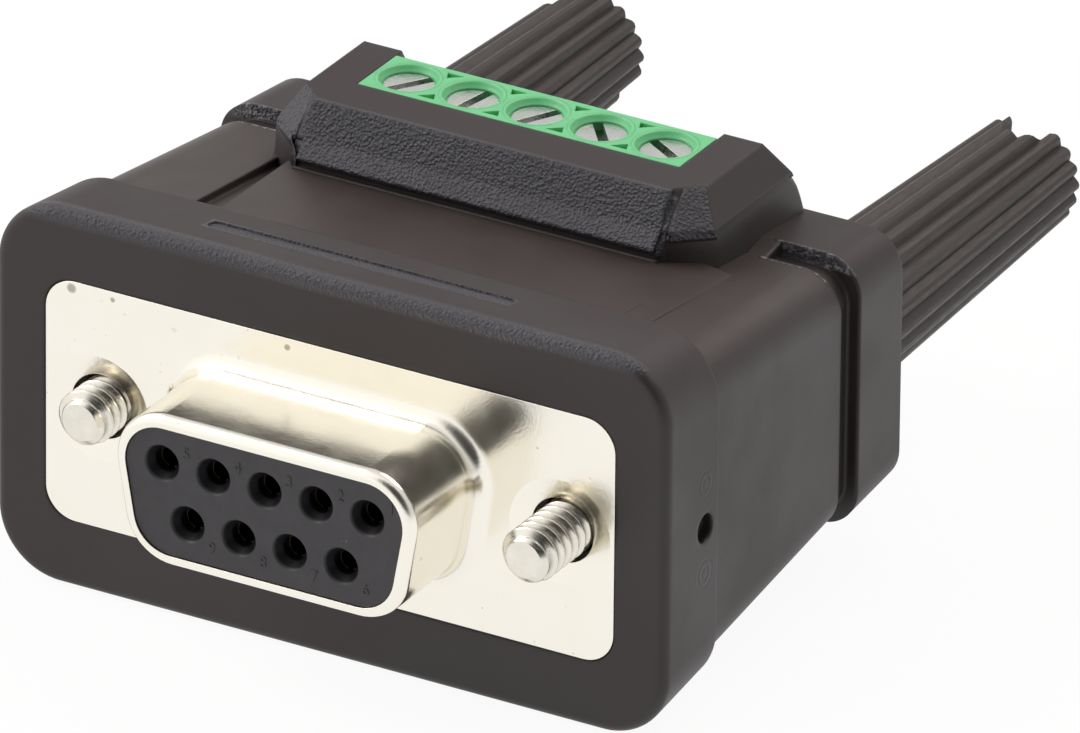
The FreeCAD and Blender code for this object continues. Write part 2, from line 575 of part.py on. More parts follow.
def make_housing_body():
    """Bezel, waist, groove and collar as tapered rounded blocks, fused into one moulding."""
    bezel = rounded_block((BEZEL_WIDTH, BEZEL_HEIGHT),
                          (BEZEL_WIDTH - 2 * BEZEL_SIDE_DRAFT, BEZEL_HEIGHT - 2 * BEZEL_TOP_DRAFT),
                          0, BEZEL_DEPTH, BEZEL_CORNER)
    bezel = bezel.makeFillet(BEZEL_FILLET, edges_at_depth(bezel, 0))
    bezel = bezel.makeChamfer(BEZEL_REAR_CHAMFER, edges_at_depth(bezel, BEZEL_DEPTH))
    waist = rounded_block((WAIST_FRONT_WIDTH, WAIST_FRONT_HEIGHT), (WAIST_REAR_WIDTH, WAIST_REAR_HEIGHT),
                          BEZEL_DEPTH - BEZEL_REAR_CHAMFER, WAIST_END, WAIST_CORNER)
    core_size = (WAIST_REAR_WIDTH - 2 * GROOVE_DEPTH, WAIST_REAR_HEIGHT - 2 * GROOVE_DEPTH)
    core = rounded_block(core_size, core_size, WAIST_END - GROOVE_WIDTH, COLLAR_START + GROOVE_WIDTH,
                         WAIST_CORNER - GROOVE_DEPTH)
    collar = rounded_block((COLLAR_FRONT_WIDTH, COLLAR_FRONT_HEIGHT), (COLLAR_REAR_WIDTH, COLLAR_REAR_HEIGHT),
                           COLLAR_START, HOUSING_REAR, COLLAR_CORNER)
    collar = collar.makeChamfer(COLLAR_CHAMFER, edges_at_depth(collar, HOUSING_REAR))
    bridge = side_prism([V(WAIST_END, 0, 0), V(WAIST_END, WAIST_REAR_HEIGHT / 2, 0),
                         V(COLLAR_START, COLLAR_FRONT_HEIGHT / 2, 0), V(COLLAR_START, 0, 0)],
                        GROOVE_TOP_START)
    return bezel.fuse([waist, core, collar, bridge])


def housing_details():
    """Shallow cuts in the outside: top panel, grip slot and the injection gate's pit."""
    panel_floor_front = waist_top(PANEL_START) - PANEL_DEPTH
    panel_floor_rear = waist_top(UNDERCUT_FRONT) - PANEL_DEPTH
    above = FLASH_HEIGHT
    panel = side_prism([V(PANEL_START, panel_floor_front, 0), V(UNDERCUT_FRONT, panel_floor_rear, 0),
                        V(UNDERCUT_FRONT, above, 0), V(PAD_NOSE_FRONT, above, 0),
                        V(PAD_NOSE_FRONT, HOOD_TOP, 0), V(PANEL_START, HOOD_TOP, 0)], PANEL_WIDTH / 2)
    slot_floor = BEZEL_HEIGHT / 2 - BEZEL_TOP_DRAFT * GRIP_SLOT_PLACE / BEZEL_DEPTH - GRIP_SLOT_DEPTH
    half = GRIP_SLOT_LENGTH / 2
    low = GRIP_SLOT_PLACE - GRIP_SLOT_WIDTH / 2
    high = GRIP_SLOT_PLACE + GRIP_SLOT_WIDTH / 2
    corners = [V(half, high, 0), V(-half, high, 0), V(-half, low, 0), V(half, low, 0)]
    slot = Part.Face(rounded_wire(corners, [GRIP_SLOT_WIDTH * 0.45] * 4, level(slot_floor))).extrude(UP * 2)
    gate_floor = BEZEL_WIDTH / 2 - BEZEL_SIDE_DRAFT - GATE_DEPTH
    gate = Part.makeCylinder(GATE_RADIUS, 2 * GATE_DEPTH, V(gate_floor, GATE_PLACE, 0), ACROSS)
    return [panel, slot, gate]


def connector_cavity():
    """Room for the connector, its contact tails and the board inside the moulding."""
    gap = POCKET_GAP
    seat = rectangle_block(FLANGE_WIDTH + 2 * gap, FLANGE_HEIGHT + 2 * gap, FLANGE_CORNER, -1, PLATES_REAR)
    cup = dee_block(-gap, 0, INSULATOR_REAR, REAR_CUP_WIDTH, REAR_CUP_HEIGHT)
    tail_half = (TOP_ROW_COUNT - 1) / 2 * CONTACT_PITCH + TAIL_RADIUS + gap
    tail_height = ROW_HEIGHT + TAIL_RADIUS + gap
    tails = box(V(-tail_half, INSULATOR_REAR, -tail_height), V(tail_half, TAIL_END + gap, tail_height))
    half = BOARD_WIDTH / 2 + gap
    board = box(V(-half, INSULATOR_REAR, -BOARD_TOP - gap), V(half, HOUSING_REAR + 1, BOARD_TOP))
    return [seat, cup, tails, board]


def terminal_cavity():
    """Room for the terminal block, open at the top and the rear, and for its pins below."""
    gap = POCKET_GAP
    pocket = block_outline(gap)[:4] + [V(BLOCK_RIDGE_FRONT - gap, HOOD_TOP + 1, 0),
                                       V(HOUSING_REAR + 1, HOOD_TOP + 1, 0),
                                       V(HOUSING_REAR + 1, BOARD_TOP, 0)]
    block = side_prism(pocket, BLOCK_HALF + gap)
    pin_rear = BLOCK_FRONT + 2 * PIN_WIDTH
    pins = box(V(-BLOCK_HALF, BLOCK_FRONT - gap, PIN_BOTTOM - gap), V(BLOCK_HALF, pin_rear, BOARD_TOP))
    return [block, pins]


def screw_cavities():
    """Bores for the thumbscrew shafts, each with a chamber that stops its ring both ways."""
    cavities = []
    for name, x, tip, turn in both_sides():
        cavities.append(rod(x, 0, SHAFT_BORE_RADIUS, 0, HOUSING_REAR + 1))
        cavities.append(rod(x, 0, RING_RADIUS + RING_CHAMBER_GAP, CHAMBER_START, CHAMBER_END))
    return cavities


def make_housing():
    housing = make_housing_body().fuse(make_hood()).removeSplitter()
    housing = housing.cut(housing_details())
    return housing.cut(connector_cavity() + terminal_cavity() + screw_cavities())


def make_thumbscrew_shaft(x, tip):
    """Steel shaft: threaded end with a relief behind it, ring groove and a seat in the knob."""
    end = tip + SHAFT_EXPOSED + SHAFT_IN_KNOB
    shaft = rod(x, 0, SHAFT_RADIUS, tip, end)
    shaft = shaft.makeChamfer(SHAFT_CHAMFER, edges_at_depth(shaft, tip))
    relief_start = tip + THREAD_LENGTH
    groove_start = tip + RING_PLACE - RING_GAP
    groove_end = tip + RING_PLACE + RING_THICKNESS + RING_GAP
    for start, stop in ((relief_start, relief_start + NECK_LENGTH), (groove_start, groove_end)):
        shaft = shaft.cut(rod(x, 0, SHAFT_RADIUS + 1, start, stop).cut(rod(x, 0, NECK_RADIUS, start, stop)))
    return shaft


def make_retaining_ring(x, tip):
    """Open ring in the shaft's groove; it slides with the screw in the housing's chamber."""
    start = tip + RING_PLACE
    end = start + RING_THICKNESS
    ring = rod(x, 0, RING_RADIUS, start, end).cut(rod(x, 0, NECK_RADIUS + RING_GAP, start, end))
    opening = box(V(x - RING_OPENING / 2, start, -RING_RADIUS), V(x + RING_OPENING / 2, end, 0))
    return ring.cut(opening)


def fluted_wire(radius, depth, x, y):
    """A round outline with rounded ribs and hollows, as short straight steps along each flute."""
    step = 2 * math.pi / KNOB_FLUTES
    profile = ((-0.35, 0.6), (-0.18, 0.15), (0.0, 0.0), (0.18, 0.15), (0.35, 0.6), (0.5, 1.0))
    points = []
    for i in range(KNOB_FLUTES):
        for share, drop in profile:
            angle = (i + share) * step
            reach = radius - depth * drop
            points.append(V(x + reach * math.sin(angle), y, reach * math.cos(angle)))
    return Part.makePolygon(points + points[:1])


def make_thumbscrew_knob(x, tip, turn):
    """Tapered fluted knob with a deep screwdriver slot across its free end."""
    front = tip + SHAFT_EXPOSED
    end = front + KNOB_LENGTH
    knob = Part.makeLoft([
        fluted_wire(KNOB_BASE_RADIUS - KNOB_EDGE, KNOB_FLUTE_DEPTH, x, front),
        fluted_wire(KNOB_BASE_RADIUS, KNOB_FLUTE_DEPTH, x, front + KNOB_EDGE),
        fluted_wire(KNOB_END_RADIUS, KNOB_FLUTE_DEPTH, x, end - KNOB_EDGE),
        fluted_wire(KNOB_END_RADIUS - KNOB_EDGE, KNOB_FLUTE_DEPTH, x, end),
    ], True, True)
    seat = rod(x, 0, SHAFT_RADIUS + SHAFT_SEAT_GAP, front, front + SHAFT_IN_KNOB)
    half = KNOB_SLOT_WIDTH / 2
    slot_bottom = end - KNOB_SLOT_DEPTH + half
    reach = KNOB_BASE_RADIUS
    slot = box(V(x - half, slot_bottom, -reach), V(x + half, end + 1, reach))
    slot = slot.fuse(Part.makeCylinder(half, 2 * reach, V(x, slot_bottom, -reach), UP)).removeSplitter()
    slot.rotate(V(x, 0, 0), REARWARD, turn)
    return knob.cut([seat, slot])


def save(name, shape):
    """Moves a piece to the part's origin and writes it."""
    if len(shape.Solids) == 1:
        shape = shape.Solids[0]
    shape = shape.copy()
    shape.translate(TO_ORIGIN)
    shape.exportStep("parts/" + name + ".step")


def build():
    os.makedirs("parts", exist_ok=True)
    save("housing", make_housing())
    save("shell_front", make_shell_front())
    save("shell_rear", make_shell_rear())
    save("insulator_front", make_insulator_front())
    save("insulator_rear", make_insulator_rear())
    for number, (x, z) in enumerate(contact_places(), 1):
        save("contact_%d" % number, make_contact(x, z))
    save("circuit_board", make_circuit_board())
    save("terminal_housing", make_terminal_housing())
    for number, x in enumerate(pole_places(), 1):
        save("terminal_screw_%d" % number, make_terminal_screw(x, TERMINAL_SCREW_TURNS_DEG[number - 1]))
        save("clamp_cage_%d" % number, make_clamp_cage(x))
        save("terminal_pin_%d" % number, make_terminal_pin(x))
    for name, x, tip, turn in both_sides():
        save("thumbscrew_shaft_" + name, make_thumbscrew_shaft(x, tip))
        save("thumbscrew_knob_" + name, make_thumbscrew_knob(x, tip, turn))
        save("retaining_ring_" + name, make_retaining_ring(x, tip))


build()
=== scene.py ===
import json
import math

import bpy
from mathutils import Matrix, Vector


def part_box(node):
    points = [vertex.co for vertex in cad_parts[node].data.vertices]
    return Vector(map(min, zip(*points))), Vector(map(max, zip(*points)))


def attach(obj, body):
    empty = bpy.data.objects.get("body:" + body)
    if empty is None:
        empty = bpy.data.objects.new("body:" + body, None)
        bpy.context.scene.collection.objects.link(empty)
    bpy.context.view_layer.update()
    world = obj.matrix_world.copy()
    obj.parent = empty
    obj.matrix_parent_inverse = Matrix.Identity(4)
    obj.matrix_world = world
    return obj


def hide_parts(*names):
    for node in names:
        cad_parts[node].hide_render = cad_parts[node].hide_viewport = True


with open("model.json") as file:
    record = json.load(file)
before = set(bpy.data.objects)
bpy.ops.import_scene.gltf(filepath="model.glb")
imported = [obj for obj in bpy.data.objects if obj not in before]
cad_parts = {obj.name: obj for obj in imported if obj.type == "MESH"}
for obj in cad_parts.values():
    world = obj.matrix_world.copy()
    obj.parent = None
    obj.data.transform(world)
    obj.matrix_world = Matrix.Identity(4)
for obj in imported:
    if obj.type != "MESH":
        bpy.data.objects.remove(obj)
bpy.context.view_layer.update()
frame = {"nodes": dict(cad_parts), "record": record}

MM = 0.001

# Camera, found from the connector's standard sizes in the photo. It looks at a point beside the
# middle of the flange's front face through a very long lens. Its distance is in metres.
CAMERA_AZIMUTH_DEG = 29.778
CAMERA_ELEVATION_DEG = 26.327
CAMERA_ROLL_DEG = 0.580
CAMERA_DISTANCE = 1.0
CAMERA_ASIDE = 9.895 * MM
CAMERA_UP = 4.825 * MM
CAMERA_LENS_MM = 713.68
CAMERA_SENSOR_MM = 36.0

# Studio: levels of the white tent round the part, and how white the floor is made. A span says
# how far a direction lines up with the named one where its level starts and ends changing.
TENT_BRIGHT_DIRECTION = (-0.5, -0.75, 0.43)
TENT_BRIGHT_SPAN = (-0.3, 0.8)
TENT_OPENING_SPAN = (0.70, 0.94)
TENT_ROOF_DIRECTION = (-0.2, 0.2, 0.95)
TENT_ROOF_SPAN = (0.72, 0.95)
TENT_NEAR_LEVEL = 1.1
TENT_FAR_LEVEL = 0.68
TENT_OPENING_LEVEL = 0.05
TENT_ROOF_LEVEL = 0.8
TENT_TINT = (1.0, 0.99, 0.975, 1.0)
FLOOR_WHITE_SHARE = 0.93
FLOOR_HALF = 3.0
FLOOR_DROP = 0.02 * MM

# Square soft lamps: place, size, power in watts and tint
LAMP_AIM = (0, 0, 0.01)
LAMP_SIZE = 0.4
KEY_PLACE = (-0.5, -0.15, 0.5)
KEY_WATTS = 2.0
KEY_TINT = (1.0, 0.96, 0.93)
FILL_PLACE = (0.15, 0.35, 0.55)
FILL_WATTS = 1.6
FILL_TINT = (1.0, 0.88, 0.84)

# Screw threads: number 4-40 on the thumbscrews
THREAD_PITCH = 0.635 * MM
THREAD_DEPTH = 0.4 * MM
THREAD_LENGTH = 4.6 * MM
THREAD_CHAMFER = 0.5 * MM
THREAD_STEPS = 14
THREAD_FLANK_SLOPE = 2.6
THREAD_ROOT_SHARE = 0.15
TURN_STEPS = 56
NECK_RADIUS = 1.15 * MM
NECK_LENGTH = 1.2 * MM
RING_GROOVE_START = 11.95 * MM
RING_GROOVE_LENGTH = 0.7 * MM

# How much narrower a knob's radius is at its free end, in millimetres
KNOB_TAPER_MM = 0.68

# Funnels round the terminal screws
POLES = 5
WELL_RADIUS = 1.62 * MM
WELL_MOUTH_RADIUS = 1.48 * MM
WELL_THROAT_RADIUS = 1.22 * MM
WELL_DEPTH = 0.33 * MM
WELL_STEPS = 5
WELL_ROUNDING = 0.6
SCREW_4_SHOWN_TURN_DEG = -152.0

# Soft skirt round the hood's lower edge, given from the flange in millimetres as (height, half
# width, rear); its other places are (half width, depth)
SKIRT_LEVELS = ((9.02, 11.86, 22.7), (8.85, 11.95, 22.95), (8.5, 12.0, 23.3), (8.0, 12.02, 23.65),
                (7.4, 12.06, 23.9), (6.9, 12.14, 24.0), (6.3, 12.3, 24.05))
SKIRT_FRONT = 15.42
SKIRT_NOSE = (10.42, 14.2)
SKIRT_NOSE_SPREAD = (0.6, -0.8)
SKIRT_NOSE_STUB = (0.1, 0.05)
SKIRT_PAD_END = (9.8, 13.5)
SKIRT_PAD_END_TOP = 8.6
SKIRT_INNER = 8.95
SKIRT_INNER_START = 21.5
SKIRT_CORNER = 0.8
SKIRT_CORNER_STEPS = 8

# Floor of the top panel, which runs up to the pad's foot: (depth, height) from the flange in
# millimetres, and places across from its left lip to where it meets the waist's top on the right
PANEL_FLOOR = ((6.3, 7.735), (9.5, 7.71), (13.4, 7.63), (14.95, 7.62))
PANEL_LEFT_LIP = -10.9
PANEL_LIP_DROP = 0.5
PANEL_LEFT = -10.5
PANEL_RIGHT = 9.9
PANEL_RIGHT_MEETING = 13.2
PANEL_MIDWAY_RISE = 0.03
PANEL_MEETING_DROP = 0.02
WAIST_TOP_START = 8.25
WAIST_TOP_FALL = 0.1151
BEZEL_DEPTH = 5.5

# Foot of the hood's grip pad and floor of the grip slot: half widths, and side views from the
# flange as (depth, height), in millimetres
PAD_FOOT_HALF = 10.15
PAD_FOOT_OUTLINE = ((14.14, 8.8), (13.7, 8.2), (13.62, 7.5), (14.95, 7.5), (14.95, 8.8))
SLOT_FLOOR_HALF = 8.25
SLOT_FLOOR_OUTLINE = ((2.4, 9.53), (3.4, 9.41), (3.4, 9.1), (2.4, 9.1))

# Marks left by moulding and handling, given from the flange in millimetres: depth and heights of
# the ring marks on the sides, and tarnish spots as (across, height, size)
RING_MARK_DEPTH = 3.8
RING_MARK_HEIGHTS = (2.3, -2.35)
TARNISH_SPOTS = ((-14.0, 5.9, 0.3), (-11.75, 5.86, 0.16), (-2.25, 5.8, 0.2))

# Zones of the housing's surface with a look of their own, as spans (across, depth, height) from
# the flange in millimetres
ANYWHERE = (-30, 30)
PAD_ZONE = ((-10.0, 10.0), (13.0, 15.15), (7.9, 10.7))
FACET_ZONE = (ANYWHERE, (13.9, 16.6), (8.6, 11.0))
FACET_INNER_EDGE = (10.05, 10.2)
BEZEL_RIM_ZONE = (ANYWHERE, (-0.2, 0.7), (9.2, 10.2))
GRIP_SLOT_ZONE = ((-8.3, 8.3), (2.3, 3.45), (9, 10))
GROOVE_TOP_ZONE = (ANYWHERE, (17.6, 20.0), (6.2, 7.4))
GROOVE_INNER_EDGE = (12.8, 13.0)
GROOVE_LIPS = ((17.88, 18.12), (19.45, 19.65))
# LOW_TOP_ZONE is where up-facing surfaces get painted light
LOW_TOP_ZONE = (ANYWHERE, (3.6, 18.6), (5.5, 8.3))
SIDE_FACE_START = (17.6, 17.8)

# Contact field
CONTACT_COUNT = 9
TOP_ROW_COUNT = 5
NUMBER_HEIGHT = 0.85 * MM
NUMBER_RELIEF = 0.03 * MM
NUMBER_ASIDE = 1.32 * MM
TOP_NUMBER_RISE = 0.78 * MM
BOTTOM_NUMBER_RISE = -0.92 * MM


def mount_place(name):
    """A mount's place in the record, in the row frame."""
    for mount in frame["record"]["mounts"]:
        if mount["name"] == name:
            return Vector(mount["pos_m"])
    raise KeyError(name)


FLANGE = Vector((0, mount_place("mating_flange").y, mount_place("contact_socket").z))
SCREW_X = mount_place("jackscrew_right").x


class Look:
    """A node material in the making: its Principled shader, and short calls that add nodes."""

    def __init__(self, name):
        self.material = bpy.data.materials.new(name)
        self.material.use_nodes = True
        self.nodes = self.material.node_tree.nodes
        self.links = self.material.node_tree.links
        self.shader = self.nodes["Principled BSDF"]
        place = self.nodes.new("ShaderNodeTexCoord").outputs["Object"]
        self.place = self.vector("SCALE", place, scale=1 / MM)
        self.axes = self.nodes.new("ShaderNodeSeparateXYZ")
        self.links.new(self.place, self.axes.inputs[0])

    def feed(self, socket, value):
        """Links an output, or sets a plain number or colour."""
        if isinstance(value, bpy.types.NodeSocket):
            self.links.new(value, socket)
        else:
            socket.default_value = value

    def set(self, **values):
        """Sets the shader's inputs by name, with spaces as underscores."""
        for name, value in values.items():
            self.feed(self.shader.inputs[name.replace("_", " ")], value)

    def vector(self, operation, a, b=None, scale=None):
        node = self.nodes.new("ShaderNodeVectorMath")
        node.operation = operation
        self.feed(node.inputs[0], a)
        if b is not None:
            self.feed(node.inputs[1], b)
        if scale is not None:
            node.inputs["Scale"].default_value = scale
        return node.outputs[0]

    def math(self, operation, a, b=0.0):
        node = self.nodes.new("ShaderNodeMath")
        node.operation = operation
        self.feed(node.inputs[0], a)
        self.feed(node.inputs[1], b)
        return node.outputs[0]

    def noise(self, scale, detail=3.0, place=None):
        """Noise between 0 and 1, with its scale in features per millimetre."""
        node = self.nodes.new("ShaderNodeTexNoise")
        self.feed(node.inputs["Vector"], place or self.place)
        node.inputs["Scale"].default_value = scale
        node.inputs["Detail"].default_value = detail
        return node.outputs["Fac"]

    def cells(self, scale, place=None):
        """Distance to the nearest cell middle, with its scale in cells per millimetre."""
        node = self.nodes.new("ShaderNodeTexVoronoi")
        self.feed(node.inputs["Vector"], place or self.place)
        node.inputs["Scale"].default_value = scale
        return node.outputs["Distance"]

    def range(self, value, low, high, new_low=0.0, new_high=1.0, smooth=True):
        node = self.nodes.new("ShaderNodeMapRange")
        node.interpolation_type = "SMOOTHSTEP" if smooth else "LINEAR"
        self.feed(node.inputs["Value"], value)
        node.inputs["From Min"].default_value = low
        node.inputs["From Max"].default_value = high
        node.inputs["To Min"].default_value = new_low
        node.inputs["To Max"].default_value = new_high
        return node.outputs["Result"]

    def between(self, value, low, high, soft=0.15):
        """1 between two values and 0 outside them."""
        rising = self.range(value, low - soft, low + soft)
        falling = self.range(value, high - soft, high + soft, 1.0, 0.0)
        return self.math("MULTIPLY", rising, falling)

    def inside(self, zone, soft):
        """1 inside a zone given from the flange as (across, depth, height) spans."""
        across, depth, height = zone
        spans = (across, from_flange(depth, FLANGE.y), from_flange(height, FLANGE.z))
        masks = [self.between(self.axes.outputs[i], low, high, soft) for i, (low, high) in enumerate(spans)]
        return self.math("MULTIPLY", self.math("MULTIPLY", masks[0], masks[1]), masks[2])

    def mix(self, share, a, b):
        node = self.nodes.new("ShaderNodeMix")
        node.data_type = "RGBA"
        self.feed(node.inputs[0], share)
        self.feed(node.inputs[6], a)
        self.feed(node.inputs[7], b)
        return node.outputs[2]

    def bump(self, height, depth_mm, strength=1.0, normal=None):
        node = self.nodes.new("ShaderNodeBump")
        self.feed(node.inputs["Height"], height)
        node.inputs["Distance"].default_value = depth_mm * MM
        node.inputs["Strength"].default_value = strength
        if normal is not None:
            self.links.new(normal, node.inputs["Normal"])
        return node.outputs["Normal"]

    def distance(self, a, a_middle, b, b_middle):
        """Distance in the plane of two coordinates from a middle, in millimetres."""
        da = self.math("SUBTRACT", a, a_middle)
        db = self.math("SUBTRACT", b, b_middle)
        squares = self.math("ADD", self.math("MULTIPLY", da, da), self.math("MULTIPLY", db, db))
        return self.math("SQRT", squares)

    def from_screw_axis(self):
        """Distance from the nearer thumbscrew's axis, in millimetres."""
        across = self.math("ABSOLUTE", self.axes.outputs[0])
        return self.distance(across, SCREW_X / MM, self.axes.outputs[2], FLANGE.z / MM)

    def facing(self, axis, low, high):
        """0 where the surface normal's part along an axis is low, and 1 where it is high."""
        split = self.nodes.new("ShaderNodeSeparateXYZ")
        geometry = self.nodes.new("ShaderNodeNewGeometry")
        self.links.new(geometry.outputs["True Normal"], split.inputs[0])
        return self.range(split.outputs[axis], low, high)

    def soft_edges(self, radius_mm):
        """Normals rounded at sharp edges, as a moulded or stamped piece has."""
        node = self.nodes.new("ShaderNodeBevel")
        node.samples = 6
        node.inputs["Radius"].default_value = radius_mm * MM
        return node.outputs["Normal"]


def colour(red, green, blue):
    return (red, green, blue, 1.0)


def from_flange(span, place):
    """A span given from the flange, whose place is in metres, as one in the row frame's millimetres."""
    return (span[0] + place / MM, span[1] + place / MM)


def housing_plastic():
    """Black moulded plastic: satin, with grain on the grips and edges, and painted light in patches on the
    up-facing low top.
    """
    look = Look("housing_plastic")
    across, depth, height = look.axes.outputs
    off_middle = look.math("ABSOLUTE", across)
    cloud = look.noise(0.16, 4)
    grain = look.math("ADD", look.noise(8, 3), look.math("MULTIPLY", look.cells(6.0), 0.9))
    pad = look.inside(PAD_ZONE, 0.1)
    outer = look.math("MULTIPLY", look.inside(FACET_ZONE, 0.1), look.range(off_middle, *FACET_INNER_EDGE))
    facet = look.math("MULTIPLY", outer, look.facing(1, -0.2, -0.35))
    rim = look.inside(BEZEL_RIM_ZONE, 0.25)
    slot = look.inside(GRIP_SLOT_ZONE, 0.08)
    lips = [look.between(depth, *from_flange(lip, FLANGE.y), 0.06) for lip in GROOVE_LIPS]
    lip_tops = look.math("MULTIPLY", look.inside(GROOVE_TOP_ZONE, 0.1), look.math("MAXIMUM", *lips))
    burr = look.math("MULTIPLY", lip_tops, look.range(off_middle, *GROOVE_INNER_EDGE))
    rough_zone = look.math("MAXIMUM", look.math("MAXIMUM", pad, facet),
                           look.math("MAXIMUM", rim, look.math("MAXIMUM", slot, burr)))
    side = look.range(off_middle, *SIDE_FACE_START)
    rings = None
    for place in RING_MARK_HEIGHTS:
        far = look.distance(depth, RING_MARK_DEPTH + FLANGE.y / MM, height, place + FLANGE.z / MM)
        wave = look.math("MULTIPLY", look.math("SINE", look.math("MULTIPLY", far, 16.0)),
                         look.range(far, 0.75, 0.9, 1.0, 0.0))
        rings = wave if rings is None else look.math("ADD", rings, wave)
    fine = look.bump(look.noise(11, 5), 0.004, 0.6, look.soft_edges(0.3))
    waves = look.bump(look.noise(0.5, 2), 0.03, 0.5, fine)
    ringed = look.bump(look.math("MULTIPLY", rings, side), 0.012, 0.7, waves)
    coarse = look.bump(look.math("MULTIPLY", grain, rough_zone), 0.075, 1.0, ringed)
    tone = look.mix(cloud, colour(0.018, 0.0125, 0.0125), colour(0.027, 0.0185, 0.018))
    # Painted light: up-facing surfaces of the low top are made lighter and warmer, in patches
    low_top = look.math("MULTIPLY", look.inside(LOW_TOP_ZONE, 0.3), look.facing(2, 0.4, 0.8))
    painted_top_light = look.math("MULTIPLY", low_top, look.range(look.noise(0.25, 4), 0.3, 0.7, 0.6, 1.0))
    tone = look.mix(look.math("MULTIPLY", painted_top_light, 0.5), tone, colour(0.062, 0.045, 0.044))
    tone = look.mix(look.math("MULTIPLY", rough_zone, 0.8), tone, colour(0.056, 0.055, 0.067))
    speck = look.range(look.noise(2.3, 2), 0.76, 0.8)
    tone = look.mix(look.math("MULTIPLY", speck, 0.35), tone, colour(0.09, 0.085, 0.085))
    scuff = look.math("MULTIPLY", burr, look.range(look.noise(4.0, 4), 0.5, 0.62))
    tone = look.mix(look.math("MULTIPLY", scuff, 0.6), tone, colour(0.3, 0.29, 0.3))
    look.set(Base_Color=tone, Roughness=look.range(cloud, 0.3, 0.7, 0.42, 0.52), IOR=1.5, Normal=coarse)
    return look.material


def knob_plastic():
    """Brown-black plastic of the thumbscrew knobs, with painted shade in the flutes' valleys."""
    look = Look("knob_plastic")
    across, depth, height = look.axes.outputs
    low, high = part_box("thumbscrew_knob_right")
    base = (high.x - low.x) / 2 / MM
    shrink = KNOB_TAPER_MM / ((high.y - low.y) / MM)
    left_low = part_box("thumbscrew_knob_left")[0].y / MM
    start = look.range(across, -1, 1, left_low, low.y / MM, False)
    surface = look.math("SUBTRACT", base, look.math("MULTIPLY", look.math("SUBTRACT", depth, start), shrink))
    sunk = look.math("SUBTRACT", surface, look.from_screw_axis())
    painted_valley_shade = look.range(sunk, 0.05, 0.3)
    stretched = look.vector("MULTIPLY", look.place, (1.0, 0.12, 1.0))
    marks = look.noise(9, 4, stretched)
    tone = look.mix(look.noise(0.4, 3), colour(0.024, 0.0165, 0.0148), colour(0.037, 0.027, 0.0245))
    # Painted shade: the flutes' valleys are made darker
    tone = look.mix(look.math("MULTIPLY", painted_valley_shade, 0.9), tone, colour(0.008, 0.005, 0.0045))
    normal = look.bump(marks, 0.008, 0.7, look.soft_edges(0.05))
    look.set(Base_Color=tone, Roughness=look.range(marks, 0.3, 0.7, 0.4, 0.55), IOR=1.5, Normal=normal)
    return look.material


def insulator_plastic():
    """Charcoal insulator with a dull moulded face, painted shade down the holes and a few pale specks of
    dust.
    """
    look = Look("insulator_plastic")
    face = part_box("insulator_front")[0].y / MM
    # Painted shade: surfaces sunk behind the face, down the holes, are made near-black below and get a lower
    # specular level
    sunk = look.range(look.axes.outputs[1], face + 0.01, face + 0.16)
    speck = look.range(look.noise(3.1, 2), 0.76, 0.82)
    tone = look.mix(look.noise(0.7, 4), colour(0.026, 0.024, 0.028), colour(0.04, 0.037, 0.042))
    tone = look.mix(look.math("MULTIPLY", speck, 0.4), tone, colour(0.2, 0.2, 0.2))
    tone = look.mix(sunk, tone, colour(0.006, 0.006, 0.008))
    normal = look.bump(look.noise(7, 5), 0.008, 0.8, look.soft_edges(0.08))
    look.set(Base_Color=tone, Roughness=look.range(look.noise(1.3, 3), 0.3, 0.7, 0.42, 0.55), IOR=1.5,
             Normal=normal, Specular_IOR_Level=look.math("SUBTRACT", 0.5, look.math("MULTIPLY", sunk, 0.36)))
    return look.material


def plated_steel():
    """Bright nickel plate over drawn steel: creamy, slightly wavy, with tarnish specks."""
    look = Look("plated_steel")
    across, depth, height = look.axes.outputs
    cloud = look.noise(0.35, 4)
    speck = look.range(look.noise(1.1, 3), 0.70, 0.78)
    pits = look.range(look.noise(3.6, 2), 0.74, 0.8)
    tone = look.mix(cloud, colour(0.9, 0.86, 0.76), colour(0.97, 0.94, 0.855))
    tone = look.mix(look.math("MULTIPLY", speck, 0.3), tone, colour(0.5, 0.46, 0.38))
    tone = look.mix(look.math("MULTIPLY", pits, 0.5), tone, colour(0.3, 0.28, 0.24))
    for x, z, size in TARNISH_SPOTS:
        far = look.distance(across, x, height, z + FLANGE.z / MM)
        ragged = look.math("ADD", far, look.math("MULTIPLY", look.noise(6, 3), 0.35 * size))
        spot = look.range(ragged, 0.7 * size, 1.2 * size, 0.75, 0.0)
        tone = look.mix(spot, tone, colour(0.3, 0.28, 0.23))
    waves = look.bump(look.noise(0.45, 2), 0.02, 0.6, look.soft_edges(0.05))
    fine = look.bump(look.noise(7, 5), 0.005, 0.9, waves)
    look.set(Base_Color=tone, Metallic=1.0, Roughness=look.range(cloud, 0.3, 0.7, 0.15, 0.24), Normal=fine)
    return look.material


def turned_metal(name, tone_a, tone_b, rough_low, rough_high, scale=5.0):
    """Turned or stamped metal with fine scratches and small changes of tone."""
    look = Look(name)
    scratch = look.noise(scale, 5, look.vector("MULTIPLY", look.place, (0.25, 1.6, 1.0)))
    tone = look.mix(look.noise(1.4, 3), colour(*tone_a), colour(*tone_b))
    normal = look.bump(scratch, 0.004, 0.7, look.soft_edges(0.04))
    look.set(Base_Color=tone, Metallic=1.0, Roughness=look.range(scratch, 0.3, 0.7, rough_low, rough_high),
             Normal=normal)
    return look.material


